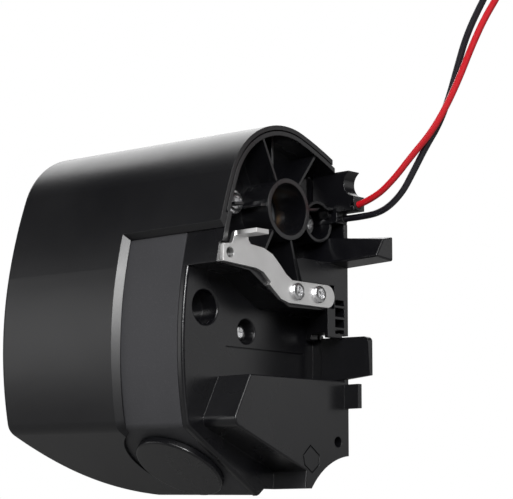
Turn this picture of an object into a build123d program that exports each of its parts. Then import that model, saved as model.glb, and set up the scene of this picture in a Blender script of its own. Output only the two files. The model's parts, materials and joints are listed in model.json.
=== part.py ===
"""Drive head for a roller shutter: a 12 V gear motor in a moulded end case.

Origin: centre of the boss mouth, on the roller axis, in the plane where the head meets the cassette.
+X runs along the roller axis, out of the open end. +Y points to the wall. +Z is up. Millimetres.
"""
from build123d import *

from math import atan, cos, degrees, hypot, pi, radians, sin, sqrt, tan
import os

os.makedirs("parts", exist_ok=True)

# ---------------------------------------------------------------- driving dimensions
CASE_LENGTH = 135.8     # from the mating plane to the closed far end
CASE_CLIMB = 2.2        # how much the case rises over its length, its moulding draft
WALL = 2.0              # case wall
FRAME_INSET = 2.5       # outer face of the end frame below the case's outer face
PANEL_INSET = 3.4       # outer face of the recessed panel below the case's outer face
SKIN = 2.5              # panel and frame skins
REAR_Y = 40.0           # wall side of the head
WALL_BOTTOM_Z = -107.0  # lower edge of the wall side
SOLE_FRONT = (-46.4, -97.0)   # crease between front and slanted sole
SOLE_REAR = (0.7, -124.9)     # rear edge of the slanted sole
RECESS_FRONT = (-45.2, -95.2)  # crease of the recessed sole, which runs out at the same rear edge
FOOT_Z = -121.8         # flat underside behind the sole
CREASE_R = 7.0
END_LEAN = 1.35         # lean of the far end, in degrees
FAR_EDGE_R = 3.0

WINDOW_X = -57.0        # inner edge of the cut-out in the case
WINDOW_Z = -12.6
BEVEL = 2.8             # 45 degree edge of the cut-out
BORDER = 3.2            # case thickness along the cut-out
PANEL_END_X = -22.6     # where the panel meets the end frame
FRAME_BACK_X = -22.0    # rear face of the end frame and of the side plate
PLATE_X = -19.0         # outer face of the recessed side plate
BOWL_X = -16.0          # floor of the round bowl in the end frame

BOSS_R = 13.7
BOSS_BORE_R = 11.6
RIM_WIDTH = 2.0
RIB = 1.2
FRAME_SCREWS = ((-22.7, 1.8), (24.6, -2.2))  # either side of the boss

CAP_X = -45.0           # round access cap, measured along the roller axis
CAP_S = 28.9            # and down the recessed sole from its crease
CAP_T = 3.2             # how far its top stands above the recessed sole
CAP_R = 20.5
CAP_HOLE_R = 17.5
POCKET_R = 27.0

MODULE = 1.0            # gears
PRESSURE = radians(25.0)
SUN_TEETH = 12
PLANET_TEETH = 12
RING_TEETH = 36
BACKLASH = 0.16         # taken off each tooth's thickness
ARM_ANGLES = (90.0, 210.0, 330.0)
GEARBOX_R = 22.5
PIN_R = 1.5
CARRIER_R = 15.0
HUB_R = 8.0
DRIVE_BORE_R = 5.0
KEY_WIDTH = 3.0

MOTOR_R = 18.5
MOTOR_X = (-106.0, -55.2)
SHAFT_R = 1.6

WIRE_R = 1.5
FERRULE_LENGTH = 14.0

REAR_DEPTH = 2.6        # pocket in the case's rear that the back plate fills
REAR_TOP_Z = 18.0
REAR_LOW_Z = -104.0
POST_X = (-116.0, -38.0)
POST_Y = 25.0
POST_R = 4.0
POST_TOP_Z = 11.0
POST_LOW_Z = -97.0
SCREW_R = 1.5

BUTTON_R = 3.0          # set button behind the cap
BUTTON_GUIDE_R = 6.0
BUTTON_FLOOR = -12.5    # inner end of its guide, measured from the sole
SPIGOT_LOW = -7.8

BOARD_Y = 22.0          # control board, parallel to the wall
BOARD_T = 1.6
BOARD_X = (-112.0, -34.0)
BOARD_Z = (-88.0, -34.0)
BOARD_HOLES = ((-107.0, -83.0), (-39.0, -83.0), (-107.0, -39.0), (-39.0, -39.0))

SEAT_LOW_Z = -27.6      # lower edge of the end frame at the front
FRAME_SEAT_X = -12.4    # seats of the frame screws
BRACKET_BACK_X = -2.0
BRACKET_TAB_X = 12.0
BRACKET_HOLE = (-37.5, -23.1)
BRACKET_HOLE_R = 2.3
BRACKET_SCREWS_Y = (5.3, 19.7)
BRACKET_SCREW_Z = -36.1
LUG_X = 26.0
SHORT_LUG_X = 14.1
TAB_X = 8.2
LOCATING_HOLE = (-33.0, -44.7)
LOCATING_R = 7.5
LOCATING_X = -28.0
WELL = (-7.0, -53.4)
WELL_R = 5.2
WELL_X = -25.0
FIXING_HOLE = (32.6, -101.0)
FIXING_R = 2.4
FIXING_DEPTH = 12.0
LEG_NOTCH_Z = -51.9     # lower edge of the end frame's wall side
OUTLET_Y = (32.4, 39.8)
OUTLET_LOW_Z = -2.2
OUTLET_STEP_Z = 2.6

RING_X = (-52.0, -24.0)
COVER_X = (-24.0, -19.0)
SHELL_SCREW_R = 20.7
SHELL_SCREW_ANGLES = (60.0, 180.0, 300.0)
HUB_FACE_X = -19.0
DRIVE_BORE_LENGTH = 9.0
MOTOR_SCREW_Y = 9.0

# The two leads, from the outlet to their ends, each in its own plane parallel to the wall.
RED_ROUTE = [(10.9, 34.8, 5.0), (20.6, 34.8, 7.2), (31.4, 34.8, 14.2), (41.8, 34.8, 23.6),
             (52.8, 34.8, 32.6), (61.3, 34.8, 43.2), (68.3, 34.8, 54.4), (74.8, 34.8, 66.6),
             (81.8, 34.8, 78.0), (90.4, 34.8, 88.2), (97.8, 34.8, 99.0)]
BLACK_ROUTE = [(0.3, 38.2, 0.3), (11.4, 38.2, 0.0), (23.2, 38.2, 1.4), (33.2, 38.2, 8.0),
               (40.0, 38.2, 17.4), (46.8, 38.2, 27.2), (54.3, 38.2, 36.2), (60.1, 38.2, 47.8),
               (64.8, 38.2, 60.6), (69.6, 38.2, 73.0), (76.8, 38.2, 84.6), (84.8, 38.2, 95.6)]

CASE_TILT = degrees(atan(CASE_CLIMB / CASE_LENGTH))
CENTRE_DISTANCE = MODULE * (SUN_TEETH + PLANET_TEETH) / 2
SOLE_RUN = (SOLE_REAR[0] - RECESS_FRONT[0], SOLE_REAR[1] - RECESS_FRONT[1])
SOLE_LENGTH = hypot(*SOLE_RUN)
SOLE_ALONG = (SOLE_RUN[0] / SOLE_LENGTH, SOLE_RUN[1] / SOLE_LENGTH)
SOLE_OUT = (SOLE_ALONG[1], -SOLE_ALONG[0])


# ---------------------------------------------------------------- shape helpers
def block(x0, x1, y0, y1, z0, z1):
    """Rectangular block between two corners."""
    return Pos((x0 + x1) / 2, (y0 + y1) / 2, (z0 + z1) / 2) * Box(x1 - x0, y1 - y0, z1 - z0)


def rod(x0, x1, radius, y=0.0, z=0.0):
    """Round bar along the roller axis."""
    return Pos((x0 + x1) / 2, y, z) * Rot(0, 90, 0) * Cylinder(radius, x1 - x0)


def tube(x0, x1, outer, inner, y=0.0, z=0.0):
    """Round tube along the roller axis."""
    return rod(x0, x1, outer, y, z) - rod(x0 - 1, x1 + 1, inner, y, z)


def rod_y(y0, y1, radius, x, z):
    """Round bar square to the wall."""
    return Pos(x, (y0 + y1) / 2, z) * Rot(90, 0, 0) * Cylinder(radius, y1 - y0)


def slab(points, x0, x1, corner=0.0):
    """Plate between two stations on the roller axis, from its outline in Y and Z."""
    face = make_face(Polyline(*points, close=True))
    if corner:
        face = fillet(face.vertices(), corner)
    return extrude(Plane.YZ.offset(x0) * face, x1 - x0, dir=(1, 0, 0))


def side_slab(points, y0, y1, corner=0.0):
    """Plate between two distances from the wall, from its outline in X and Z."""
    face = make_face(Polyline(*points, close=True))
    if corner:
        face = fillet(face.vertices(), corner)
    return extrude(Plane.XZ.offset(-y1) * face, y1 - y0, dir=(0, -1, 0))


def pan_screw(head_r, head_h, shank_r, shank_l, slot=0.9):
    """Pan-head screw with a cross recess, its seat at the origin and its head towards +X."""
    dome = rod(0, head_h, head_r)
    dome = fillet(dome.edges().sort_by(Axis.X)[-1], head_h * 0.7)
    depth = head_h * 0.65
    cross = block(head_h - depth, head_h + 1, -head_r * 0.6, head_r * 0.6, -slot / 2, slot / 2)
    cross += block(head_h - depth, head_h + 1, -slot / 2, slot / 2, -head_r * 0.6, head_r * 0.6)
    return dome + rod(-shank_l, 0, shank_r) - cross


def save(node, *solids):
    """Write one node."""
    shape = solids[0] if len(solids) == 1 else Compound(children=list(solids))
    export_step(shape, f"parts/{node}.step")


# ---------------------------------------------------------------- case section
def shrunk(arc, inset):
    """Arc about the same centre, its radius less by the inset."""
    centre = arc.arc_center
    share = (arc.radius - inset) / arc.radius
    return ThreePointArc(*[centre + (arc @ k - centre) * share for k in (0, 0.5, 1)])


def crossing(first, second):
    """Point where two lines meet, each given by a point on it and its direction."""
    (p, u), (q, v) = first, second
    share = ((q[0] - p[0]) * v[1] - (q[1] - p[1]) * v[0]) / (u[0] * v[1] - u[1] * v[0])
    return p[0] + u[0] * share, p[1] + u[1] * share


def above_sole(start, inset):
    """Everything above the slanted sole, its heel and the flat foot, moved inwards."""
    corners = [start, SOLE_REAR, (SOLE_REAR[0] + 3.8, FOOT_Z), (60, FOOT_Z)]
    lines = []
    for here, there in zip(corners, corners[1:]):
        run = (there[0] - here[0], there[1] - here[1])
        length = hypot(*run)
        lines.append(((here[0] - run[1] / length * inset, here[1] + run[0] / length * inset), run))
    (corner, run) = lines[0]
    ahead = (corner[0] - run[0] * 0.4, corner[1] - run[1] * 0.4)
    rest = [(60, FOOT_Z + inset), (60, 80), (ahead[0], 80)]
    return make_face(Polyline(ahead, crossing(lines[0], lines[1]), crossing(lines[1], lines[2]), *rest,
                              close=True))


def section(inset=0.0, recessed=False):
    """Outline of the head across the roller axis, moved inwards. Recessed is that of the sunk panel."""
    top = ThreePointArc((9.9, 34.8), (-8.0, 36.4), (-36.3, 13.0))
    brow = TangentArc(top @ 1, (-47.0, -26.0), tangent=top % 1)
    front = TangentArc(brow @ 1, (-41.8, -115.0), tangent=brow % 1)
    shoulder = TangentArc(top @ 0, (REAR_Y + 10, 14.6), tangent=(top % 0) * -1)
    notch = ThreePointArc((14.7, FOOT_Z), (24.9, -112.2), (REAR_Y, WALL_BOTTOM_Z))
    depth = inset + PANEL_INSET if recessed else inset
    shoulder, top, brow, front = [shrunk(arc, depth) for arc in (shoulder, top, brow, front)]
    drop = Polyline(front @ 1, (front @ 1) + (2, -60), (shoulder @ 1) + (0, -200), shoulder @ 1)
    face = make_face([shoulder, top, brow, front, *drop.edges()])
    face = face & Pos(REAR_Y - inset - 100, -50) * Rectangle(200, 300)
    face = face & above_sole(RECESS_FRONT if recessed else SOLE_FRONT, inset)
    face -= Pos(*notch.arc_center) * Circle(notch.radius + inset)
    crease = face.vertices().sort_by_distance((*(RECESS_FRONT if recessed else SOLE_FRONT), 0))[0]
    return fillet(crease, max(CREASE_R - depth * 0.9, 1.0))


def case_block(inset, x0, x1, tilt=CASE_TILT, recessed=False):
    """Solid head section between two stations, tilted up towards the far end."""
    start = Plane.YZ.offset(x1 + 5) * section(inset, recessed)
    body = Rot(0, tilt, 0) * extrude(start, x1 - x0 + 10, dir=(-1, 0, 0))
    return body & block(x0, x1, -70, 70, -150, 70)


def leaning_end(inset=0.0):
    """Everything on the near side of the far end, which leans out towards its top."""
    return Pos(inset - CASE_LENGTH, 0, 0) * Rot(0, -END_LEAN, 0) * block(0, 200, -80, 80, -160, 80)


def corner_round(inset=0.0):
    """Everything inside the big rounded lower corner of the far end."""
    end_x = -CASE_LENGTH - 5
    low = (2.0 - CASE_LENGTH, -78.0)
    swoop = Bezier(low, (low[0] + 0.6, -102), (-126, -120.5), (-74, -124.2))
    rest = Polyline((-74, -124.2), (10, -131), (10, 60), (end_x, 60), (end_x, low[1]), low)
    face = make_face([*swoop.edges(), *rest.edges()])
    keep = extrude(Plane.XZ.offset(-60) * face, 130, dir=(0, -1, 0))
    return Pos(inset, 0, inset) * keep


def on_sole(x, s, proud=0.0):
    """Frame on the recessed sole, its Z axis pointing out of the sole."""
    y = RECESS_FRONT[0] + SOLE_ALONG[0] * s + SOLE_OUT[0] * proud
    z = RECESS_FRONT[1] + SOLE_ALONG[1] * s + SOLE_OUT[1] * proud
    return Plane(origin=(x, y, z), x_dir=(1, 0, 0), z_dir=(0, *SOLE_OUT))


CAP_FRAME = on_sole(CAP_X, CAP_S, CAP_T)


def sole_disc(radius, low, high):
    """Disc square to the sole at the cap, between two heights above the sole."""
    return CAP_FRAME * Pos(0, 0, (low + high) / 2) * Cylinder(radius, high - low)


# ---------------------------------------------------------------- case, panel, back plate
def outer_cover():
    """Moulded case: closed far end, open mating end, with a bevelled cut-out at the lower front."""
    outer = case_block(0.0, -CASE_LENGTH - 4, 0.0) & leaning_end()
    far_edges = outer.faces().sort_by(Axis.X)[0].edges()
    rounded = [e for e in far_edges if e.center().Z > SOLE_FRONT[1] and e.center().Y < REAR_Y - 2]
    outer = fillet(rounded, FAR_EDGE_R)
    outer = outer & corner_round()
    cavity = case_block(WALL, -CASE_LENGTH - 4, 3.0) & leaning_end(WALL) & corner_round(WALL)
    border = block(-66, 5, -60, 5.0, -130, -6) - case_block(BORDER, -70.0, 5.0)
    cover = outer - (cavity - border)
    cover -= block(WINDOW_X, 5, -60, 3.4, -140, WINDOW_Z)
    cover -= block(PANEL_END_X, 5, 3.3, 60, -140, -90)
    return cover


def cut_out_edges(cover):
    """Outer edges along the left and the top of the cut-out."""
    edges = []
    for edge in cover.edges():
        low = edge.bounding_box().min
        high = edge.bounding_box().max
        middle = edge.center()
        left = abs(low.X - WINDOW_X) < 0.05 and abs(high.X - WINDOW_X) < 0.05
        above = abs(low.Z - WINDOW_Z) < 0.05 and abs(high.Z - WINDOW_Z) < 0.05
        outer_y = -48.5 if edge.length > 40 else -45.3
        if left and middle.Y < outer_y and middle.Z > SOLE_FRONT[1]:
            edges.append(edge)
        if above and middle.Y < -43.0 and edge.length > 20:
            edges.append(edge)
    return edges


def posts():
    """Four screw posts inside the case, webbed to its walls: the shoulder's two and the sill's two."""
    shapes = []
    for x in POST_X:
        for z, web in ((POST_TOP_Z, (POST_TOP_Z, 30.0)), (POST_LOW_Z, (-115.0, POST_LOW_Z))):
            post = rod_y(POST_Y, REAR_Y - REAR_DEPTH, POST_R, x, z)
            post += block(x - 1.2, x + 1.2, POST_Y, REAR_Y - REAR_DEPTH, *web)
            post = post & case_block(WALL / 2, -CASE_LENGTH + 1, 0)
            shapes.append(post - rod_y(POST_Y + 2, REAR_Y, SCREW_R, x, z))
    return shapes


def finished_cover():
    """The case with its bevelled cut-out, the pocket round the cap, the open rear and the posts."""
    cover = outer_cover()
    cover = chamfer(cut_out_edges(cover), BEVEL)
    cover -= sole_disc(POCKET_R, -8, 8) & block(-100, 0, -60, 3.4, -140, -80)
    opening = block(-CASE_LENGTH, 5, REAR_Y - REAR_DEPTH, 41, REAR_LOW_Z - 0.2, REAR_TOP_Z + 0.2)
    cover -= opening & leaning_end(WALL) & corner_round(WALL)
    cover -= block(-16, 5, 30, 60, -10, 60)
    for post in posts():
        cover += post
    return cover


def recess_panel():
    """Skin behind the cut-out, with the round opening that the access cap closes."""
    skin = case_block(0, -82, PANEL_END_X, recessed=True) - case_block(SKIN, -86, 0, recessed=True)
    skin = skin & block(-82, PANEL_END_X, -60, 3.2, -140, -8)
    ring = sole_disc(CAP_HOLE_R + 2.5, BUTTON_FLOOR, -CAP_T - 1.2)
    guide = sole_disc(BUTTON_GUIDE_R, BUTTON_FLOOR, BUTTON_FLOOR + 2.0)
    spokes = CAP_FRAME * Pos(0, 0, BUTTON_FLOOR + 1) * Box(2 * CAP_HOLE_R + 2, 3.0, 2.0)
    panel = skin + ring - sole_disc(CAP_HOLE_R, -20, 5)
    panel = panel + spokes + guide
    return panel - sole_disc(BUTTON_R + 0.1, -20, 5)


def access_cap():
    """Round push-in cap: a flange lying in the pocket and a hollow spigot in the opening."""
    flange = sole_disc(CAP_R, -CAP_T + 0.1, 0.0)
    rim = flange.edges().filter_by(GeomType.CIRCLE).group_by(SortBy.LENGTH)[-1]
    top_rim = max(rim, key=lambda e: (e.center() - CAP_FRAME.origin).dot(CAP_FRAME.z_dir))
    flange = fillet(top_rim, 0.9)
    spigot = sole_disc(CAP_HOLE_R - 0.25, SPIGOT_LOW, -CAP_T + 0.2)
    spigot -= sole_disc(CAP_HOLE_R - 2.5, SPIGOT_LOW - 1, -CAP_T + 0.1)
    groove = sole_disc(CAP_HOLE_R + 1, -6.4, -4.9) - sole_disc(CAP_HOLE_R - 1.3, -7, -4)
    return flange + (spigot - groove)


def cap_seal():
    """Rubber ring in the spigot's groove."""
    ring = sole_disc(CAP_HOLE_R - 0.05, -6.35, -4.95) - sole_disc(CAP_HOLE_R - 1.28, -7, -4)
    return ring


def set_button():
    """Push button behind the cap, with a collar that stops it falling out."""
    stem = sole_disc(BUTTON_R, BUTTON_FLOOR - 3.0, BUTTON_FLOOR + 2.0)
    return stem + sole_disc(BUTTON_R + 1.2, BUTTON_FLOOR - 1.6, BUTTON_FLOOR - 0.05)


def back_plate():
    """Wall-side plate, with sunk seats for its four screws and two stand-offs for the board."""
    plate = block(-CASE_LENGTH, FRAME_BACK_X - 0.2, REAR_Y - REAR_DEPTH + 0.2, REAR_Y,
                  REAR_LOW_Z, REAR_TOP_Z) & leaning_end(WALL + 0.2) & corner_round(WALL + 0.2)
    for x in (-100, -84, -68, -52):
        plate += block(x - 0.75, x + 0.75, REAR_Y - REAR_DEPTH - 1.3, REAR_Y - 1, -88, 4)
    for x, z in BOARD_HOLES:
        plate += rod_y(BOARD_Y + BOARD_T, REAR_Y - 1, 3.2, x, z)
    for x in POST_X:
        for z in (POST_TOP_Z, POST_LOW_Z):
            plate -= rod_y(REAR_Y - 3.5, REAR_Y + 1, SCREW_R + 0.2, x, z)
            plate -= rod_y(REAR_Y - 1.6, REAR_Y + 1, 3.7, x, z)
    for x, z in BOARD_HOLES:
        plate -= rod_y(BOARD_Y, REAR_Y - 3, SCREW_R - 0.2, x, z)
    return plate


# ---------------------------------------------------------------- end frame and lower housing
def rib(start, end, x0=BOWL_X, x1=-1.0):
    """Thin upright rib between two points of the bowl."""
    length = hypot(end[0] - start[0], end[1] - start[1])
    across = (-(end[1] - start[1]) / length * RIB / 2, (end[0] - start[0]) / length * RIB / 2)
    corners = [(start[0] + across[0], start[1] + across[1]), (end[0] + across[0], end[1] + across[1]),
               (end[0] - across[0], end[1] - across[1]), (start[0] - across[0], start[1] - across[1])]
    return slab(corners, x0, x1)


def end_frame():
    """Moulded end frame: rim, bowl, boss ring and ribs, the bracket's seat and the long lug."""
    rim = case_block(FRAME_INSET, FRAME_BACK_X, 0, 0)
    rim -= case_block(FRAME_INSET + RIM_WIDTH, FRAME_BACK_X - 1, 1, 0)
    rim = rim & block(FRAME_BACK_X, 0, -60, 31.5, -5.6, 60)
    pad = case_block(PANEL_INSET, FRAME_BACK_X, 0, 0) - case_block(PANEL_INSET + SKIN, -30, 1, 0)
    pad = pad & block(FRAME_BACK_X, 0, -60, 0, SEAT_LOW_Z, -5.4)
    floor = case_block(FRAME_INSET + 1, PLATE_X, BOWL_X, 0)
    floor = floor & block(PLATE_X, BOWL_X, -60, 38, SEAT_LOW_Z, 60)
    floor = floor & case_block(PANEL_INSET + 0.5, PLATE_X, BOWL_X, 0)
    frame = rim + pad + floor
    seat = [(-41.0, SEAT_LOW_Z), (-40.8, -20.5), (-26, -20.5), (-17, -21.2), (-11, -23.2), (-2, -31.2),
            (3, -33), (26, -33), (29.5, -36.5), (27, -42.4), (2.5, -43), (-5, -40), (-14, -34.8),
            (-23, -29.3)]
    frame += slab(seat, PLATE_X, BRACKET_BACK_X)
    frame -= block(BRACKET_BACK_X, 1, -60, -30, -40, -18.8)
    shield = [(5.2, -21.5), (9, -20.8), (38, -20.8), (38, -39), (30.8, -39), (30.8, -31.1),
              (8.6, -31.1)]
    frame += slab(shield, -3, 0)
    frame += block(FRAME_BACK_X, 0, REAR_Y - 2.4, REAR_Y, LEG_NOTCH_Z, REAR_TOP_Z)
    frame += block(PLATE_X, -16, 20, REAR_Y, -44, 18)
    leg = [(PLATE_X, 33.0), (0.0, 26.0), (0.0, REAR_Y), (PLATE_X, REAR_Y)]
    leg_face = make_face(Polyline(*leg, close=True))
    frame += extrude(Plane.XY.offset(-54.5) * leg_face, 15.9, dir=(0, 0, 1))
    frame -= block(-14.5, -2.7, 24, 41, -56, LEG_NOTCH_Z)
    frame -= block(FRAME_BACK_X, 1, 35.8, 41, -56, -53.2)
    frame -= block(FRAME_BACK_X, -14.5, 35.8, 41, -56, LEG_NOTCH_Z)
    frame -= block(FRAME_BACK_X - 1, PLATE_X, 20, 41, -56, LEG_NOTCH_Z)
    frame -= block(BRACKET_BACK_X, 1, 20, 30.8, -41.6, -31.1)
    for low, high in ((-39.8, -37.4), (-44.9, -40.9), (-49.7, -46.1), (-52.6, -50.8)):
        frame -= block(-7, 1, 31.2, 37.5, low, high)
    root = make_face(Polyline((30.5, -7.5), (REAR_Y - 1, -7.5), (REAR_Y - 1, -23), (26, -22), close=True))
    tip = make_face(Polyline((33.9, -12), (REAR_Y, -10.6), (REAR_Y, -21.4), (28.5, -20.3), close=True))
    lug = loft([Plane.YZ.offset(BOWL_X - 1) * root, Plane.YZ.offset(LUG_X) * tip])
    lug = fillet([e for e in lug.edges() if e.center().X > BOWL_X and e.center().Y < REAR_Y - 1], 0.9)
    frame += lug
    frame += rod(PLATE_X, 0, BOSS_R)
    ribs = [((-15.6, 30.0), (-6.5, 11.5)), ((19.4, 27.0), (7.4, 11.0)), ((-33.5, -1.2), (-13.0, 0.4)),
            ((-8.6, -10.0), (-14.2, -19.5)), ((2.4, -13.0), (7.6, -31.0)), ((13.0, 1.5), (31.5, 4.2))]
    for start, end in ribs:
        frame += rib(start, end)
    frame += rib((-0.8, 32.5), (-0.4, 12.5), x1=-9.0)
    frame += tube(BOWL_X - 1, -4, 9.4, 8.0, *FRAME_SCREWS[1])
    for place in FRAME_SCREWS:
        frame += rod(BOWL_X - 1, FRAME_SEAT_X, 6.0, *place)
        frame -= rod(PLATE_X - 1, 1, SCREW_R + 0.1, *place)
        frame -= rod(FRAME_SEAT_X, 1, 6.0, *place)
    for y in BRACKET_SCREWS_Y:
        frame -= rod(-14, 1, SCREW_R + 0.05, y, BRACKET_SCREW_Z)
    frame -= rod(PLATE_X - 1, 1, BOSS_BORE_R)
    frame -= block(-14.2, 1, OUTLET_Y[0] - 0.1, REAR_Y + 1, OUTLET_LOW_Z - 0.1, 60)
    return frame


def housing_box():
    """Hollow raised box of the lower housing, its front in the mating plane."""
    outline = [(-24.6, -74.1), (-35.4, -95.1), (11.2, -114.2), (9.6, -130), (60, -130), (60, -73.6)]
    box = slab(outline, PLATE_X - 1, 0) & case_block(0, PLATE_X - 1, 0, 0)
    side = box.edges().filter_by(Axis.X).sort_by_distance((-10, -35.4, -95.1))[0]
    box = fillet(side, 3.5)
    front = box.faces().sort_by(Axis.X)[-1]
    rounded = [e for e in front.edges() if e.center().Y < 12]
    box = fillet(rounded, 0.7)
    inner = [(-21.5, -76.6), (-31.2, -94.2), (13.7, -112.2), (13.7, -118.4), (30, -104.5), (37, -104.5),
             (37, -76.6)]
    box -= slab(inner, FRAME_BACK_X - 1, -2.5)
    box += rod(-16, -1, 5.2, FIXING_HOLE[0], FIXING_HOLE[1])
    return box


def lower_housing():
    """Recessed side plate with the raised box, the short lugs, the locating hole and the screw well."""
    plate = case_block(0, FRAME_BACK_X, PLATE_X, 0, recessed=True)
    plate = plate & block(FRAME_BACK_X, PLATE_X, -60, REAR_Y - 2.4, -140, SEAT_LOW_Z - 0.1)
    outer_face = plate.faces().sort_by(Axis.X)[-1]
    bead = [e for e in outer_face.edges() if e.center().Y < 1 and e.center().Z < SEAT_LOW_Z - 1]
    plate = fillet(bead, 1.3)
    inner_box = slab([(-21.5, -76.6), (-31.2, -94.2), (13.7, -112.2), (30, -104.5), (37, -104.5),
                      (37, -76.6)], FRAME_BACK_X - 1, PLATE_X + 1)
    body = plate + housing_box() - inner_box
    body += block(FRAME_BACK_X, 0, REAR_Y - 2.4, REAR_Y, WALL_BOTTOM_Z, -54.0)
    body += block(FRAME_BACK_X, -14.7, REAR_Y - 2.4, REAR_Y, -57, LEG_NOTCH_Z - 0.2)
    root = make_face(Polyline((36.3, -53.6), (REAR_Y, -53.6), (REAR_Y, -73.9), (36.3, -73.9), close=True))
    tip = make_face(Polyline((36.9, -54.3), (REAR_Y, -54.3), (REAR_Y, -71.6), (38.2, -71.6), close=True))
    lug = loft([Plane.YZ.offset(PLATE_X + 6) * root, Plane.YZ.offset(SHORT_LUG_X) * tip])
    body += fillet(lug.edges().sort_by_distance((SHORT_LUG_X, 38.5, -54.3))[0], 2.4)
    body += block(-1, TAB_X, 37.0, 39.4, -86.0, -75.2)
    for (y, z), radius, floor_x in ((LOCATING_HOLE, LOCATING_R, LOCATING_X), (WELL, WELL_R, WELL_X)):
        body += rod(floor_x - 2, FRAME_BACK_X + 0.5, radius + 2, y, z)
        body -= rod(floor_x, 1, radius, y, z)
        mouth = body.edges().filter_by(GeomType.CIRCLE).sort_by_distance((PLATE_X, y, z))
        lip = [e for e in mouth if abs(e.center().X - PLATE_X) < 0.01 and abs(e.radius - radius) < 0.01]
        body = fillet(lip, 0.9)
    body -= rod(WELL_X - 3, WELL_X + 1, SCREW_R + 0.1, *WELL)
    body -= rod(-FIXING_DEPTH, 1, FIXING_R, *FIXING_HOLE)
    pip = [(9.4, -107.6), (13.9, -103.4), (19.6, -107.4), (19.2, -111.4), (14.9, -114.6), (10.4, -111.6)]
    groove = offset(make_face(Polyline(*pip, close=True)), 0.5) - make_face(Polyline(*pip, close=True))
    body -= extrude(Plane.YZ.offset(-0.5) * groove, 2, dir=(1, 0, 0))
    body -= block(PLATE_X - 0.3, PLATE_X + 0.1, -20, 31, -61.0, -60.6)
    return body


def cable_outlet():
    """Moulded outlet for the two leads: an arm with a scooped end, and a step under it."""
    arm = side_slab([(-14, 20.9), (7.2, 20.9), (10.2, 8.8), (10.2, OUTLET_STEP_Z), (-14, OUTLET_STEP_Z)],
                    OUTLET_Y[0], OUTLET_Y[1])
    arm -= rod_y(OUTLET_Y[0] - 1, OUTLET_Y[1] + 1, 6.2, 10.6, 15.2)
    arm += block(-14, 0, OUTLET_Y[0], OUTLET_Y[1], OUTLET_LOW_Z, OUTLET_STEP_Z + 0.1)
    arm -= rod(8.2, 11, WIRE_R + 0.9, RED_ROUTE[0][1], RED_ROUTE[0][2])
    arm -= rod(-2, 1, WIRE_R + 0.6, BLACK_ROUTE[0][1], BLACK_ROUTE[0][2])
    return arm


def lead_grommets():
    """Soft bushes where the leads come out."""
    red = tube(8.2, 10.9, WIRE_R + 0.88, WIRE_R + 0.02, RED_ROUTE[0][1], RED_ROUTE[0][2])
    black = tube(-2, 0.3, WIRE_R + 0.58, WIRE_R + 0.02, BLACK_ROUTE[0][1], BLACK_ROUTE[0][2])
    return [red, black]


def arm_bracket():
    """Zinc-plated steel bracket with a folded tab."""
    outline = [(-41.3, -19.6), (-36.4, -19.0), (-35.2, -16.8), (-34.4, -13.4), (-26.3, -13.4),
               (-26.0, -16.6), (-24.6, -18.2), (-16.3, -19.0), (-10.6, -21.2), (-6, -25), (-1.8, -29.0),
               (2.2, -31.3), (30.7, -31.3), (30.7, -41.5), (0.2, -41.5),
               (-5, -40.2), (-12.4, -34.7), (-11.6, -33.4), (-16.4, -29.5), (-21.2, -28.2),
               (-41.8, -27.1)]
    face = make_face(Polyline(*outline, close=True))
    right_end = [v for v in face.vertices() if v.X > 25]
    face = fillet(right_end, 5.0)
    plate = extrude(Plane.YZ.offset(BRACKET_BACK_X) * face, -BRACKET_BACK_X, dir=(1, 0, 0))
    tab = block(BRACKET_BACK_X, BRACKET_TAB_X, -34.0, -26.3, -15.4, -13.4)
    bracket = plate + tab
    bend = bracket.edges().filter_by(Axis.Y).sort_by_distance((BRACKET_BACK_X, -30, -13.4))[0]
    bracket = fillet(bend, 1.7)
    bracket -= rod(-5, 5, BRACKET_HOLE_R, *BRACKET_HOLE)
    for y in BRACKET_SCREWS_Y:
        bracket -= rod(-5, 5, SCREW_R + 0.2, y, BRACKET_SCREW_Z)
    return bracket


# ---------------------------------------------------------------- gears
def involute(angle):
    return tan(angle) - angle


def tooth_half_angle(radius, teeth, half_at_pitch):
    """Half of a tooth's angle at a radius, for an involute flank."""
    pitch_r = MODULE * teeth / 2
    base_r = pitch_r * cos(PRESSURE)
    tilt = atan(sqrt(max((radius / base_r) ** 2 - 1, 0.0)))
    return half_at_pitch + involute(PRESSURE) - involute(tilt)


def gear_face(teeth, internal=False):
    """Involute outline. For an internal gear it is the hole in the ring, its spaces as teeth."""
    pitch_r = MODULE * teeth / 2
    gap = BACKLASH if internal else -BACKLASH
    half_at_pitch = (pi * MODULE / 2 + gap) / (2 * pitch_r)
    low = pitch_r - (0.8 if internal else 1.05) * MODULE
    high = pitch_r + (1.05 if internal else 0.8) * MODULE
    base_r = pitch_r * cos(PRESSURE)
    start = max(low, base_r)
    radii = [start + (high - start) * k / 4 for k in range(5)]
    if low < base_r:
        radii.insert(0, low)
    points = []
    for tooth in range(teeth):
        middle = 2 * pi * tooth / teeth
        for side, flank in ((-1, radii), (1, radii[::-1])):
            for r in flank:
                angle = middle + side * tooth_half_angle(max(r, start), teeth, half_at_pitch)
                points.append((r * cos(angle), r * sin(angle)))
    return make_face(Polyline(*points, close=True))


def gear(teeth, x0, x1, bore=0.0):
    """Spur gear on the roller axis."""
    solid = extrude(Plane.YZ.offset(x0) * gear_face(teeth), x1 - x0, dir=(1, 0, 0))
    return solid - rod(x0 - 1, x1 + 1, bore) if bore else solid


def arm_position(angle):
    return CENTRE_DISTANCE * cos(radians(angle)), CENTRE_DISTANCE * sin(radians(angle))


def planet(angle, x0, x1):
    """Planet gear on its arm, turned so that its spaces meet the sun's and the ring's teeth."""
    y, z = arm_position(angle)
    return Pos(0, y, z) * Rot(180 / PLANET_TEETH, 0, 0) * gear(PLANET_TEETH, x0, x1, PIN_R + 0.06)


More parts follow.
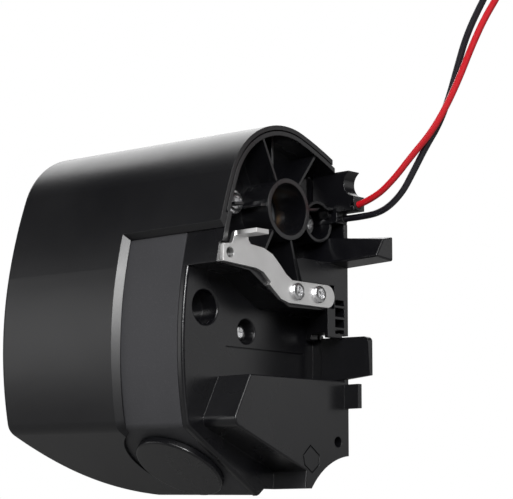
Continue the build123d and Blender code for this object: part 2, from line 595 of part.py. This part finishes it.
def pins(x0, x1):
    """The three pins of a planet carrier."""
    return [rod(x0, x1, PIN_R, *arm_position(a)) for a in ARM_ANGLES]


def carrier_disc(x0, x1):
    """Carrier disc with its pin holes."""
    disc = rod(x0, x1, CARRIER_R)
    for a in ARM_ANGLES:
        disc -= rod(x0 - 1, x1 + 1, PIN_R, *arm_position(a))
    return disc


def ring_gear():
    """Fixed ring gear that both planet stages share; it is the gearbox's wall."""
    body = rod(RING_X[0], RING_X[1], GEARBOX_R)
    hole = extrude(Plane.YZ.offset(RING_X[0] - 1) * gear_face(RING_TEETH, True), 40, dir=(1, 0, 0))
    ring = body - Rot(180 / RING_TEETH, 0, 0) * hole
    for a in SHELL_SCREW_ANGLES:
        ring -= rod(-60, 0, 1.05, SHELL_SCREW_R * cos(radians(a)), SHELL_SCREW_R * sin(radians(a)))
    return ring


def gearbox_cover():
    """Front cover of the gearbox, with the hub's bush seat and two ears for the frame screws."""
    cover = rod(COVER_X[0], COVER_X[1], GEARBOX_R)
    for place in FRAME_SCREWS:
        cover += rod(COVER_X[0], COVER_X[1], 5.2, *place)
    cover -= rod(-30, 0, HUB_R + 2)
    for place in FRAME_SCREWS:
        cover -= rod(-30, 0, SCREW_R + 0.02, *place)
    for a in SHELL_SCREW_ANGLES:
        cover -= rod(-60, 0, 1.25, SHELL_SCREW_R * cos(radians(a)), SHELL_SCREW_R * sin(radians(a)))
    return cover


def output_hub():
    """Second carrier and the hub that drives the roller, with a keyed bore."""
    hub = carrier_disc(-28.2, -25.2) + rod(-25.3, HUB_FACE_X, HUB_R)
    hub -= rod(HUB_FACE_X - DRIVE_BORE_LENGTH, 1, DRIVE_BORE_R)
    key = block(HUB_FACE_X - DRIVE_BORE_LENGTH, 1, -KEY_WIDTH / 2, KEY_WIDTH / 2, 0, DRIVE_BORE_R + 1.3)
    return hub - key


def motor_flange():
    """Rear wall of the gearbox, which the motor is screwed to."""
    flange = rod(-55.0, -52.0, GEARBOX_R) - rod(-60, -50, 6.1)
    for a in SHELL_SCREW_ANGLES:
        flange -= rod(-60, 0, 1.25, SHELL_SCREW_R * cos(radians(a)), SHELL_SCREW_R * sin(radians(a)))
    for y in (-MOTOR_SCREW_Y, MOTOR_SCREW_Y):
        flange -= rod(-60, -50, 1.25, y)
        flange -= rod(-53.4, -50, 2.4, y)
    return flange


def shell_screws():
    """Three long screws that hold the gearbox together, entered from the motor side."""
    screws = []
    for a in SHELL_SCREW_ANGLES:
        y = SHELL_SCREW_R * cos(radians(a))
        z = SHELL_SCREW_R * sin(radians(a))
        screws.append(rod(-55, COVER_X[1] - 0.6, 1.0, y, z) + rod(-56.6, -55, 1.9, y, z))
    return screws


# ---------------------------------------------------------------- motor
def motor_can():
    """Deep-drawn steel can with a nose for the front bush."""
    can = rod(*MOTOR_X, MOTOR_R)
    can = fillet(can.edges().sort_by(Axis.X)[-1], 1.5)
    can += rod(MOTOR_X[1] - 0.1, -52.2, 6.0)
    can -= rod(MOTOR_X[0] - 1, MOTOR_X[1] - 1.5, MOTOR_R - 1.4)
    can -= rod(-60, -50, 4.0)
    for y in (-MOTOR_SCREW_Y, MOTOR_SCREW_Y):
        can -= rod(-60, -50, 1.02, y)
    return can


def magnets():
    """Two arc magnets on the can's wall."""
    ring = tube(-98, -62, MOTOR_R - 1.45, MOTOR_R - 4.4)
    return [ring & block(-99, -60, -20, 20, z0, z1) for z0, z1 in ((5.0, 20), (-20, -5.0))]


def armature():
    """Laminated core with five wound poles."""
    core = rod(-94, -66, 13.4)
    for k in range(5):
        slot = block(-95, -65, 4.5, 14, -0.9, 0.9) + block(-95, -65, 5.2, 10.6, -2.6, 2.6)
        core -= Rot(72 * k + 36, 0, 0) * slot
    return core - rod(-95, -65, SHAFT_R)


def windings():
    """Copper coils in the armature's slots, standing out at both ends."""
    coils = []
    for k in range(5):
        coil = block(-96.5, -63.5, 5.6, 10.2, -2.2, 2.2)
        coils.append(Rot(72 * k + 36, 0, 0) * fillet(coil.edges().filter_by(Axis.Y), 1.0))
    return coils


def end_bell():
    """Moulded rear cap of the motor, with the rear bush seat."""
    bell = rod(-111.5, MOTOR_X[0], MOTOR_R) + rod(-114, -111.4, 6.0) + rod(-106.2, -103.5, MOTOR_R - 1.5)
    bell -= rod(-109, -100, MOTOR_R - 4)
    bell -= rod(-112.5, -100, 4.0)
    for y in (-9, 9):
        bell -= block(-113, -105, y - 1.7, y + 1.7, -0.5, 0.5)
    return bell


def cross_lead(points, radius):
    """Round lead along straight runs with wide tangent bends. Prints its radii."""
    vectors = [Vector(*p) for p in points]
    radii = []
    for a, b, c in zip(vectors, vectors[1:], vectors[2:]):
        turn = radians((b - a).get_angle(c - b))
        radii.append(0.45 * min((b - a).length, (c - b).length) / tan(turn / 2))
    path = FilletPolyline(*points, radius=radii)
    solid = sweep(Plane(origin=path @ 0, z_dir=path % 0) * Circle(radius), path=path)
    stated = pi * radius ** 2 * path.length
    print("lead", round(path.length, 1), "mm, radii", [round(r, 1) for r in radii],
          "volume ratio", round(solid.volume / stated, 4))
    return solid


def ferrule(end, before):
    """Crimped end sleeve on a lead: a collar over the insulation and a thin metal tube."""
    direction = (Vector(*end) - Vector(*before)).normalized()
    frame = Plane(origin=end, z_dir=direction)
    collar = frame * Pos(0, 0, 2.5) * Cylinder(WIRE_R + 0.6, 5.0)
    sleeve = frame * Pos(0, 0, 4.9 + (FERRULE_LENGTH - 5) / 2) * Cylinder(1.0, FERRULE_LENGTH - 4.8)
    return collar + sleeve


# ---------------------------------------------------------------- inner fittings
def motor_cradle():
    """Saddle under the motor with two feet that reach the case's front wall and the back plate."""
    saddle = tube(-96, -84, MOTOR_R + 3, MOTOR_R + 0.05) & block(-96, -84, -30, 30, -30, -4)
    legs = block(-94, -86, -60, -17, -13, -9) + block(-94, -86, 17, 60, -13, -9)
    legs = legs & case_block(WALL + 0.1, -100, -80)
    legs = legs & block(-96, -84, -60, REAR_Y - REAR_DEPTH - 1.5, -30, 0)
    return saddle + legs


def control_board():
    """Drive electronics' board on the back plate's stand-offs."""
    board = block(BOARD_X[0], BOARD_X[1], BOARD_Y, BOARD_Y + BOARD_T, BOARD_Z[0], BOARD_Z[1])
    for x, z in BOARD_HOLES:
        board -= rod_y(BOARD_Y - 1, BOARD_Y + BOARD_T + 1, SCREW_R + 0.1, x, z)
    return board


def board_screws():
    """Screws through the board into the stand-offs."""
    return [Pos(x, BOARD_Y, z) * Rot(0, 0, -90) * pan_screw(2.7, 1.8, SCREW_R - 0.2, 7.0)
            for x, z in BOARD_HOLES]


def board_parts():
    """Relays, capacitor, choke and driver chips on the board."""
    relays = [block(x, x + 16, BOARD_Y - 12, BOARD_Y, -60, -48) for x in (-100, -81)]
    capacitor = rod_y(BOARD_Y - 16, BOARD_Y, 5.0, -54, -52)
    choke = rod_y(BOARD_Y - 9, BOARD_Y, 6.5, -96, -72) - rod_y(BOARD_Y - 10, BOARD_Y - 1, 2.6, -96, -72)
    chips = [block(-80, -70, BOARD_Y - 1.8, BOARD_Y, -78, -70), block(-60, -52, BOARD_Y - 1.6, BOARD_Y, -76, -70)]
    return relays + [capacitor, choke] + chips


def terminal_block():
    """Four-way screw terminal at the board's top edge."""
    body = block(-62, -42, BOARD_Y - 9, BOARD_Y, -44, -36)
    for x in (-59.5, -54.5, -49.5, -44.5):
        body -= block(x - 1.7, x + 1.7, BOARD_Y - 6, BOARD_Y - 2.4, -38, -35)
        body -= rod_y(BOARD_Y - 10, BOARD_Y - 7, 1.6, x, -40.6)
    return body


def set_switch():
    """Push switch and its carrier, hung under the set button."""
    body = CAP_FRAME * Pos(0, 0, BUTTON_FLOOR - 8.2) * Box(9, 9, 5)
    plunger = sole_disc(1.7, BUTTON_FLOOR - 5.8, BUTTON_FLOOR - 5.05)
    return body + plunger


def switch_carrier():
    """Frame that holds the switch to the guide's ring by two posts."""
    plate = CAP_FRAME * Pos(0, 0, BUTTON_FLOOR - 11.5) * Box(30, 9, 1.6)
    for side in (-1, 1):
        plate += CAP_FRAME * Pos(side * 13, 0, BUTTON_FLOOR - 6) * Box(3, 6, 12)
    return plate


# ---------------------------------------------------------------- build and save
def build_case():
    """The moulded case, its fittings and the parts that show from outside."""
    cover = finished_cover()
    panel = recess_panel() - cover
    save("outer_cover", cover)
    save("recess_panel", panel.solids().sort_by(SortBy.VOLUME)[-1])
    save("end_frame", end_frame())
    save("lower_housing", lower_housing())
    save("back_plate", back_plate())
    save("cable_outlet", cable_outlet())
    save("lead_grommets", *lead_grommets())
    save("arm_bracket", arm_bracket())
    save("access_cap", access_cap())
    save("cap_seal", cap_seal())
    save("set_button", set_button())
    save("set_switch", set_switch())
    save("switch_carrier", switch_carrier())
    save("bracket_screws", *[Pos(0, y, BRACKET_SCREW_Z) * pan_screw(4.1, 1.9, SCREW_R, 10.0)
                             for y in BRACKET_SCREWS_Y])
    save("frame_screws", *[Pos(FRAME_SEAT_X, *place) * pan_screw(5.2, 3.0, SCREW_R, 11.4)
                           for place in FRAME_SCREWS])
    save("plate_screw", Pos(WELL_X, *WELL) * pan_screw(3.6, 2.2, SCREW_R, 7.0))
    save("cover_screws", *[Pos(x, REAR_Y - 1.6, z) * Rot(0, 0, 90) * pan_screw(3.2, 1.5, SCREW_R - 0.1, 9.0)
                           for x in POST_X for z in (POST_TOP_Z, POST_LOW_Z)])


def build_gearbox():
    """Two planet stages in one ring gear, each dividing the speed by four."""
    save("gearbox_cover", gearbox_cover())
    save("hub_bush", tube(COVER_X[0], COVER_X[1], HUB_R + 1.98, HUB_R + 0.05))
    save("ring_gear", ring_gear())
    save("motor_flange", motor_flange())
    save("gearbox_screws", *shell_screws())
    save("output_hub", output_hub())
    save("hub_pins", *pins(-39.6, -25.4))
    sun = gear(SUN_TEETH, -39.8, -29.0) + rod(-40.6, -39.7, 4.5) + carrier_disc(-43.0, -40.5)
    save("first_carrier", sun)
    save("first_pins", *pins(-51.2, -40.7))
    for number, angle in enumerate(ARM_ANGLES, 1):
        save(f"second_planet_{number}", planet(angle, -39.5, -28.6))
        save(f"first_planet_{number}", planet(angle, -51.0, -43.6))
    save("motor_pinion", gear(SUN_TEETH, -51.4, -43.9, SHAFT_R))


def build_motor():
    """Brushed direct-current motor, coaxial with the roller."""
    save("motor_can", motor_can())
    save("magnets", *magnets())
    save("motor_shaft", rod(-112.0, -44.0, SHAFT_R))
    save("armature", armature())
    save("windings", *windings())
    commutator = tube(-104.5, -98.5, 5.0, SHAFT_R)
    for k in range(5):
        commutator -= Rot(72 * k, 0, 0) * block(-105, -98, 4.2, 6, -0.3, 0.3)
    save("commutator", commutator)
    save("motor_bushes", tube(-56.6, -52.3, 3.98, SHAFT_R + 0.04), tube(-112.4, -109.1, 3.98, SHAFT_R + 0.04))
    save("brushes", *[block(-103.3, -99.7, y - 2.2, y + 2.2, -1.8, 1.8) for y in (-7.25, 7.25)])
    save("end_bell", end_bell())
    save("motor_screws", *[rod(-57.0, -52.2, 1.0, y) + rod(-53.3, -52.1, 2.2, y)
                           for y in (-MOTOR_SCREW_Y, MOTOR_SCREW_Y)])
    save("motor_cradle", motor_cradle())


def build_electrics():
    """Control board and the two supply leads."""
    save("control_board", control_board())
    save("board_parts", *board_parts())
    save("board_screws", *board_screws())
    save("terminal_block", terminal_block())
    save("red_lead", cross_lead(RED_ROUTE, WIRE_R))
    save("black_lead", cross_lead(BLACK_ROUTE, WIRE_R))
    save("red_ferrule", ferrule(RED_ROUTE[-1], RED_ROUTE[-2]))
    save("black_ferrule", ferrule(BLACK_ROUTE[-1], BLACK_ROUTE[-2]))


build_case()
build_gearbox()
build_motor()
build_electrics()
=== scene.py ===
"""Looks for the roller shutter drive head: camera, studio, finishes, leads and detailed pieces."""
import json
from math import cos, pi, radians, sin

import bmesh
import bpy
from mathutils import Matrix, Vector


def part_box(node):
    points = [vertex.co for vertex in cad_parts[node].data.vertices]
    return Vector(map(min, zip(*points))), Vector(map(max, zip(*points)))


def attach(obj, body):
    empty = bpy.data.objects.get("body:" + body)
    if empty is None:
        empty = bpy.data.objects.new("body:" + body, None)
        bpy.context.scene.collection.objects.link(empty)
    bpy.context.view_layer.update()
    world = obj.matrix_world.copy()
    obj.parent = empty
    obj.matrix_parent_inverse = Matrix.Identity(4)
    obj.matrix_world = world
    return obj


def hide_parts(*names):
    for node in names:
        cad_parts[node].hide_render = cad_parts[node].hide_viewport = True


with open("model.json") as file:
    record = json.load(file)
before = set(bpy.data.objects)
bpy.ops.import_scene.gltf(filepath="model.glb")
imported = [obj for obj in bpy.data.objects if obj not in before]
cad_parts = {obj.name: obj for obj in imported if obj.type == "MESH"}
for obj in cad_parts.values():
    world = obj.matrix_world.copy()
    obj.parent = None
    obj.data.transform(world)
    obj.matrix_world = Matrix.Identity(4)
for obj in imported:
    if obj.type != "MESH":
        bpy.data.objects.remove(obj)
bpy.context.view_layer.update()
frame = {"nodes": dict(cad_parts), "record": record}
nodes = frame["nodes"]
scene = bpy.context.scene

# ---------------------------------------------------------------- camera and leads
CAMERA_AZIMUTH = radians(42.6)
CAMERA_ELEVATION = radians(-8.4)
CAMERA_AT = (0.5623, -0.6325, -0.1429)
LENS = 136.8
SENSOR_WIDTH = 36.0
LEAD_DIAMETER = 0.003

RED_ROUTE = [(0.0109, 0.0348, 0.0050), (0.0206, 0.0348, 0.0072), (0.0314, 0.0348, 0.0142),
             (0.0418, 0.0348, 0.0236), (0.0528, 0.0348, 0.0326), (0.0613, 0.0348, 0.0432),
             (0.0683, 0.0348, 0.0544), (0.0748, 0.0348, 0.0666), (0.0818, 0.0348, 0.0780),
             (0.0904, 0.0348, 0.0882), (0.0978, 0.0348, 0.0990)]
BLACK_ROUTE = [(0.0003, 0.0382, 0.0003), (0.0114, 0.0382, 0.0000), (0.0232, 0.0382, 0.0014),
               (0.0332, 0.0382, 0.0080), (0.0400, 0.0382, 0.0174), (0.0468, 0.0382, 0.0272),
               (0.0543, 0.0382, 0.0362), (0.0601, 0.0382, 0.0478), (0.0648, 0.0382, 0.0606),
               (0.0696, 0.0382, 0.0730), (0.0768, 0.0382, 0.0846), (0.0848, 0.0382, 0.0956)]

camera_data = bpy.data.cameras.new("camera")
camera_data.lens = LENS
camera_data.sensor_width = SENSOR_WIDTH
camera_data.clip_start = 0.01
camera = bpy.data.objects.new("camera", camera_data)
scene.collection.objects.link(camera)
look = Vector((-sin(CAMERA_AZIMUTH) * cos(CAMERA_ELEVATION),
               cos(CAMERA_AZIMUTH) * cos(CAMERA_ELEVATION), -sin(CAMERA_ELEVATION)))
camera.location = CAMERA_AT
camera.rotation_euler = look.to_track_quat("-Z", "Y").to_euler()
scene.camera = camera


def lead(name, route, node, material):
    """One supply lead: a smooth round curve through its route, ending in its ferrule."""
    curve = bpy.data.curves.new(name, "CURVE")
    curve.dimensions = "3D"
    spline = curve.splines.new("NURBS")
    spline.points.add(len(route) - 1)
    for point, place in zip(spline.points, route):
        point.co = (*place, 1.0)
    spline.order_u = 3
    spline.use_endpoint_u = True
    spline.resolution_u = 16
    curve.bevel_depth = LEAD_DIAMETER / 2
    curve.bevel_resolution = 6
    curve.use_fill_caps = True
    piece = bpy.data.objects.new(name, curve)
    scene.collection.objects.link(piece)
    curve.materials.append(material)
    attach(piece, "case")
    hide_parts(node)


# ---------------------------------------------------------------- materials
BEVEL_SAMPLES = 4


class Finish:
    """A node material in the making, with short names for the nodes it is built from."""

    def __init__(self, name):
        self.material = bpy.data.materials.new(name)
        self.material.use_nodes = True
        self.tree = self.material.node_tree
        self.shader = self.tree.nodes["Principled BSDF"]
        self.place = self.add("ShaderNodeTexCoord").outputs["Object"]

    def add(self, kind, **inputs):
        node = self.tree.nodes.new(kind)
        for key, value in inputs.items():
            self.set(node.inputs[key.replace("_", " ")], value)
        return node

    def set(self, socket, value):
        if isinstance(value, bpy.types.NodeSocket):
            self.tree.links.new(value, socket)
        else:
            socket.default_value = value

    def noise(self, scale, detail=3.0, rough=0.55, vector=None):
        node = self.add("ShaderNodeTexNoise", Scale=scale, Detail=detail, Roughness=rough)
        self.set(node.inputs["Vector"], vector or self.place)
        return node.outputs["Fac"]

    def remap(self, value, low, high, new_low, new_high):
        node = self.add("ShaderNodeMapRange")
        for index, item in enumerate((value, low, high, new_low, new_high)):
            self.set(node.inputs[index], item)
        return node.outputs["Result"]

    def mix(self, factor, first, second):
        node = self.tree.nodes.new("ShaderNodeMix")
        node.data_type = "RGBA"
        self.set(node.inputs[0], factor)
        for socket, value in ((node.inputs[6], first), (node.inputs[7], second)):
            self.set(socket, value if isinstance(value, bpy.types.NodeSocket) else (*value, 1.0))
        return node.outputs[2]

    def bump(self, height, strength, distance, edge=0.0):
        node = self.add("ShaderNodeBump", Strength=strength, Distance=distance, Height=height)
        if edge:
            rounded = self.add("ShaderNodeBevel", Radius=edge)
            rounded.samples = BEVEL_SAMPLES
            self.set(node.inputs["Normal"], rounded.outputs["Normal"])
        self.set(self.shader.inputs["Normal"], node.outputs["Normal"])

    def finish(self, color, roughness, **more):
        self.set(self.shader.inputs["Base Color"], color)
        self.set(self.shader.inputs["Roughness"], roughness)
        for key, value in more.items():
            self.set(self.shader.inputs[key.replace("_", " ")], value)
        return self.material


def darker(color, share):
    """The colour with this share of its light taken away."""
    return tuple(c * (1 - share) for c in color)


def moulded(name, dark, light, rough, grain_size, grain_depth, edge=0.0003):
    """Moulded plastic: a fine spark-eroded grain over a slow change of colour and gloss."""
    f = Finish(name)
    slow = f.noise(18.0, 4.0)
    fine = f.noise(1.0 / grain_size, 2.0, 0.6)
    color = f.mix(f.remap(slow, 0.35, 0.65, 0.0, 1.0), dark, light)
    glint = tuple(c * 1.8 + 0.006 for c in light)
    speck = f.mix(f.remap(fine, 0.55, 0.75, 0.0, 0.35), color, glint)
    f.bump(fine, 0.35, grain_depth, edge)
    return f.finish(speck, f.remap(slow, 0.3, 0.7, rough - 0.03, rough + 0.04))


def metal(name, color, rough, mottle=0.12, grain=0.0006, brushed=False):
    """Bare or plated metal with a mottled gloss, brushed along X if asked."""
    f = Finish(name)
    stretch = f.add("ShaderNodeMapping")
    stretch.inputs["Scale"].default_value = (0.06, 1.0, 1.0) if brushed else (1.0, 1.0, 1.0)
    f.set(stretch.inputs["Vector"], f.place)
    fine = f.noise(1.0 / grain, 3.0, 0.6, stretch.outputs["Vector"])
    slow = f.noise(90.0, 3.0)
    shade = f.mix(f.remap(slow, 0.3, 0.7, 0.0, 1.0), darker(color, mottle), color)
    f.bump(fine, 0.25, 0.00003, 0.00025)
    return f.finish(shade, f.remap(fine, 0.3, 0.7, rough - 0.05, rough + 0.08), Metallic=1.0)


def plain(name, color, rough, variation=0.15, grain=0.0008, coat=0.0, edge=0.0002):
    """Smooth plastic, rubber, lacquer or ceramic with a little unevenness."""
    f = Finish(name)
    slow = f.noise(60.0, 3.0)
    fine = f.noise(1.0 / grain, 2.0)
    shade = f.mix(f.remap(slow, 0.3, 0.7, 0.0, 1.0), darker(color, variation), color)
    f.bump(fine, 0.2, 0.00003, edge)
    return f.finish(shade, f.remap(slow, 0.3, 0.7, rough - 0.04, rough + 0.05), Coat_Weight=coat)


finishes = {
    "case_black": moulded("case_black", (0.004, 0.004, 0.005), (0.006, 0.006, 0.007), 0.35,
                          grain_size=0.00045, grain_depth=0.00006),
    "panel_grey": moulded("panel_grey", (0.030, 0.030, 0.033), (0.038, 0.038, 0.042), 0.58,
                          grain_size=0.0007, grain_depth=0.0001),
    "frame_black": moulded("frame_black", (0.003, 0.003, 0.004), (0.005, 0.005, 0.006), 0.27,
                           grain_size=0.0006, grain_depth=0.00002, edge=0.00045),
    "zinc": metal("zinc", (0.86, 0.855, 0.85), 0.42, 0.07),
    "screw_steel": metal("screw_steel", (0.84, 0.84, 0.85), 0.25, 0.08, 0.0003),
    "rubber_black": plain("rubber_black", (0.018, 0.018, 0.018), 0.62),
    "red_pvc": plain("red_pvc", (0.56, 0.008, 0.016), 0.33, 0.06, 0.0012, 0.1),
    "black_pvc": plain("black_pvc", (0.010, 0.009, 0.013), 0.30, 0.15, 0.0012, 0.1),
    "steel": metal("steel", (0.46, 0.46, 0.47), 0.30, brushed=True),
    "acetal": plain("acetal", (0.74, 0.74, 0.70), 0.35, 0.05),
    "grey_nylon": plain("grey_nylon", (0.15, 0.16, 0.17), 0.45),
    "bronze": metal("bronze", (0.46, 0.28, 0.14), 0.36),
    "copper": metal("copper", (0.62, 0.24, 0.10), 0.28),
    "ferrite": plain("ferrite", (0.03, 0.03, 0.032), 0.55),
    "carbon": plain("carbon", (0.022, 0.022, 0.022), 0.50),
    "laminate": plain("laminate", (0.015, 0.12, 0.045), 0.30, 0.12, coat=0.4),
    "component_black": plain("component_black", (0.020, 0.020, 0.022), 0.35),
    "terminal_green": plain("terminal_green", (0.05, 0.30, 0.12), 0.40),
    "button_red": plain("button_red", (0.52, 0.03, 0.02), 0.30),
}

NODE_CREASE = radians(24)
SCREW_CREASE = radians(28)

for part in frame["record"]["subparts"]:
    mesh = nodes[part["node"]].data
    mesh.materials.clear()
    mesh.materials.append(finishes[part["material_slot"]])
    mesh.set_sharp_from_angle(angle=NODE_CREASE)

lead("red_lead_sheath", RED_ROUTE, "red_lead", finishes["red_pvc"])
lead("black_lead_sheath", BLACK_ROUTE, "black_lead", finishes["black_pvc"])

# ---------------------------------------------------------------- screws
SEGMENTS = 48
THREAD_PITCH = 0.0007
PLAIN_SHANK = 0.003          # length under the head without a thread
DOME_STEPS = 8
BRACKET_HEAD = 0.0039        # radii of the heads and shanks, heights of the domes
BRACKET_DOME = 0.0021
FRAME_HEAD = 0.0040
FRAME_DOME = 0.0032
FRAME_FLANGE = 0.0053
FRAME_NODE_HEAD = 0.0052     # head radius of the frame screws' own node, which gives their places
FRAME_SEAT_X = -0.0124
SHANK = 0.0015


def lathe(name, profile):
    """Closed form turned about the X axis, from (x, radius) points that start and end on the axis."""
    form = bmesh.new()
    rings = []
    for x, radius in profile:
        if radius == 0:
            rings.append([form.verts.new((x, 0, 0))])
            continue
        angles = [2 * pi * k / SEGMENTS for k in range(SEGMENTS)]
        rings.append([form.verts.new((x, radius * cos(a), radius * sin(a))) for a in angles])
    for low, high in zip(rings, rings[1:]):
        for k in range(SEGMENTS):
            after = (k + 1) % SEGMENTS
            corners = [low[k % len(low)], low[after % len(low)],
                       high[after % len(high)], high[k % len(high)]]
            form.faces.new(list(dict.fromkeys(corners)))
    bmesh.ops.recalc_face_normals(form, faces=form.faces)
    mesh = bpy.data.meshes.new(name)
    form.to_mesh(mesh)
    form.free()
    piece = bpy.data.objects.new(name, mesh)
    scene.collection.objects.link(piece)
    return piece


def cross_cutter(span, width, depth):
    """Tapered cross that cuts a driver recess, its mouth above x = 0 and its blunt point below."""
    point = (-depth, span * 0.20, width * 0.30)
    mouth = (0.001, span * 0.62, width * 0.62)
    form = bmesh.new()
    rings = []
    for x, half, thick in (point, mouth):
        outline = []
        for turn in range(4):
            for y, z in ((half, -thick), (half, thick), (thick, thick)):
                for _ in range(turn):
                    y, z = -z, y
                outline.append(form.verts.new((x, y, z)))
        rings.append(outline)
    low, high = rings
    form.faces.new(low)
    form.faces.new(high)
    for k in range(len(low)):
        after = (k + 1) % len(low)
        form.faces.new((low[k], low[after], high[after], high[k]))
    bmesh.ops.recalc_face_normals(form, faces=form.faces)
    mesh = bpy.data.meshes.new("cutter")
    form.to_mesh(mesh)
    form.free()
    cutter = bpy.data.objects.new("cutter", mesh)
    scene.collection.objects.link(cutter)
    return cutter


def screw_profile(head, dome, length, flange):
    """Points (x, radius) from a screw's tip to the top of its domed head."""
    tip = -length + SHANK * 0.5
    profile = [(-length, 0.0), (tip, SHANK * 0.8)]
    for k in range(int((length - PLAIN_SHANK) / THREAD_PITCH)):
        start = tip + k * THREAD_PITCH
        profile += [(start + THREAD_PITCH * 0.5, SHANK), (start + THREAD_PITCH, SHANK * 0.82)]
    profile += [(0.0, SHANK), (0.0, flange or head * 0.97)]
    if flange:
        profile += [(dome * 0.18, flange), (dome * 0.30, flange * 0.97), (dome * 0.36, head * 1.02)]
    for k in range(DOME_STEPS + 1):
        angle = radians(12 + 78 * k / DOME_STEPS)
        radius = head * cos(angle) ** 0.62 if k < DOME_STEPS else 0.0
        profile.append((dome * (0.34 + 0.66 * sin(angle)), radius))
    return profile


def cross_screw(name, seat, turn, head, dome, length, flange=0.0):
    """Domed screw with a cross recess and a threaded shank, its head towards +X from its seat."""
    piece = lathe(name, screw_profile(head, dome, length, flange))
    cutter = cross_cutter(head * 1.15, head * 0.30, dome * 0.85)
    cutter.location.x = dome
    cut = piece.modifiers.new("recess", "BOOLEAN")
    cut.object = cutter
    cut.operation = "DIFFERENCE"
    cut.solver = "EXACT"
    bpy.context.view_layer.update()
    mesh = bpy.data.meshes.new_from_object(piece.evaluated_get(bpy.context.evaluated_depsgraph_get()))
    piece.modifiers.clear()
    piece.data = mesh
    bpy.data.objects.remove(cutter)
    mesh.transform(Matrix.Translation(seat) @ Matrix.Rotation(turn, 4, "X"))
    mesh.materials.clear()
    mesh.materials.append(finishes["screw_steel"])
    mesh.set_sharp_from_angle(angle=SCREW_CREASE)
    for polygon in mesh.polygons:
        polygon.use_smooth = True
    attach(piece, "case")
    return piece


bracket_low, bracket_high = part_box("bracket_screws")
head_radius = (bracket_high[2] - bracket_low[2]) / 2
bracket_z = (bracket_low[2] + bracket_high[2]) / 2
bracket_seats = ((0.0, bracket_low[1] + head_radius, bracket_z),
                 (0.0, bracket_high[1] - head_radius, bracket_z))
for k, (seat, turn) in enumerate(zip(bracket_seats, (0.35, 0.95))):
    screw = cross_screw(f"bracket_screw_{k + 1}", seat, turn, BRACKET_HEAD, BRACKET_DOME, length=0.010)
    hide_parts("bracket_screws")

frame_low, frame_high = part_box("frame_screws")
frame_seats = ((FRAME_SEAT_X, frame_low[1] + FRAME_NODE_HEAD, frame_high[2] - FRAME_NODE_HEAD),
               (FRAME_SEAT_X, frame_high[1] - FRAME_NODE_HEAD, frame_low[2] + FRAME_NODE_HEAD))
for k, (seat, turn) in enumerate(zip(frame_seats, (0.6, 0.2))):
    screw = cross_screw(f"frame_screw_{k + 1}", seat, turn, FRAME_HEAD, FRAME_DOME,
                        length=0.0114, flange=FRAME_FLANGE)
    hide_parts("frame_screws")

# ---------------------------------------------------------------- studio
LIGHTS_AIM = (-0.03, 0.0, -0.04)
FLOOR_Z = -0.165
FLOOR_RADIUS = 0.7


def area_light(name, towards, distance, width, height, radiance):
    """Soft rectangular light that faces the middle of the object."""
    data = bpy.data.lights.new(name, "AREA")
    data.shape = "RECTANGLE"
    data.size = width
    data.size_y = height
    data.energy = radiance * width * height * pi
    light = bpy.data.objects.new(name, data)
    scene.collection.objects.link(light)
    light.location = Vector(LIGHTS_AIM) + Vector(towards).normalized() * distance
    light.rotation_euler = Vector(towards).to_track_quat("Z", "Y").to_euler()
    light.visible_camera = False


area_light("ridge_box", (-0.53, 0.47, 0.60), 2.0, 2.2, 1.4, 2.6)
area_light("left_box", (-0.66, -0.74, 0.13), 1.0, 0.9, 0.38, 1.45)
area_light("right_box", (0.72, 0.66, 0.22), 1.0, 0.5, 0.6, 0.8)
area_light("key_box", (0.45, -0.62, 0.75), 1.3, 0.8, 0.8, 5.0)
area_light("bevel_box", (0.72, -0.66, 0.34), 1.3, 0.3, 0.3, 45.0)

world = bpy.data.worlds.new("studio")
scene.world = world
world.use_nodes = True
tree = world.node_tree
background = tree.nodes["Background"]
background.inputs["Color"].default_value = (1, 1, 1, 1)
background.inputs["Strength"].default_value = 0.03
backdrop = tree.nodes.new("ShaderNodeBackground")
backdrop.inputs["Color"].default_value = (1, 1, 1, 1)
backdrop.inputs["Strength"].default_value = 1.0
seen = tree.nodes.new("ShaderNodeLightPath")
choose = tree.nodes.new("ShaderNodeMixShader")
tree.links.new(seen.outputs["Is Camera Ray"], choose.inputs[0])
tree.links.new(background.outputs[0], choose.inputs[1])
tree.links.new(backdrop.outputs[0], choose.inputs[2])
tree.links.new(choose.outputs[0], tree.nodes["World Output"].inputs["Surface"])
scene.view_settings.view_transform = "Standard"

floor_mesh = bpy.data.meshes.new("floor")
floor_form = bmesh.new()
bmesh.ops.create_circle(floor_form, cap_ends=True, radius=FLOOR_RADIUS, segments=96)
floor_form.to_mesh(floor_mesh)
floor_form.free()
floor = bpy.data.objects.new("floor", floor_mesh)
scene.collection.objects.link(floor)
floor.location = (0, 0, FLOOR_Z)
floor_mesh.materials.append(plain("floor", (0.26, 0.26, 0.26), 0.8, 0.02, 0.0006, edge=0.0))
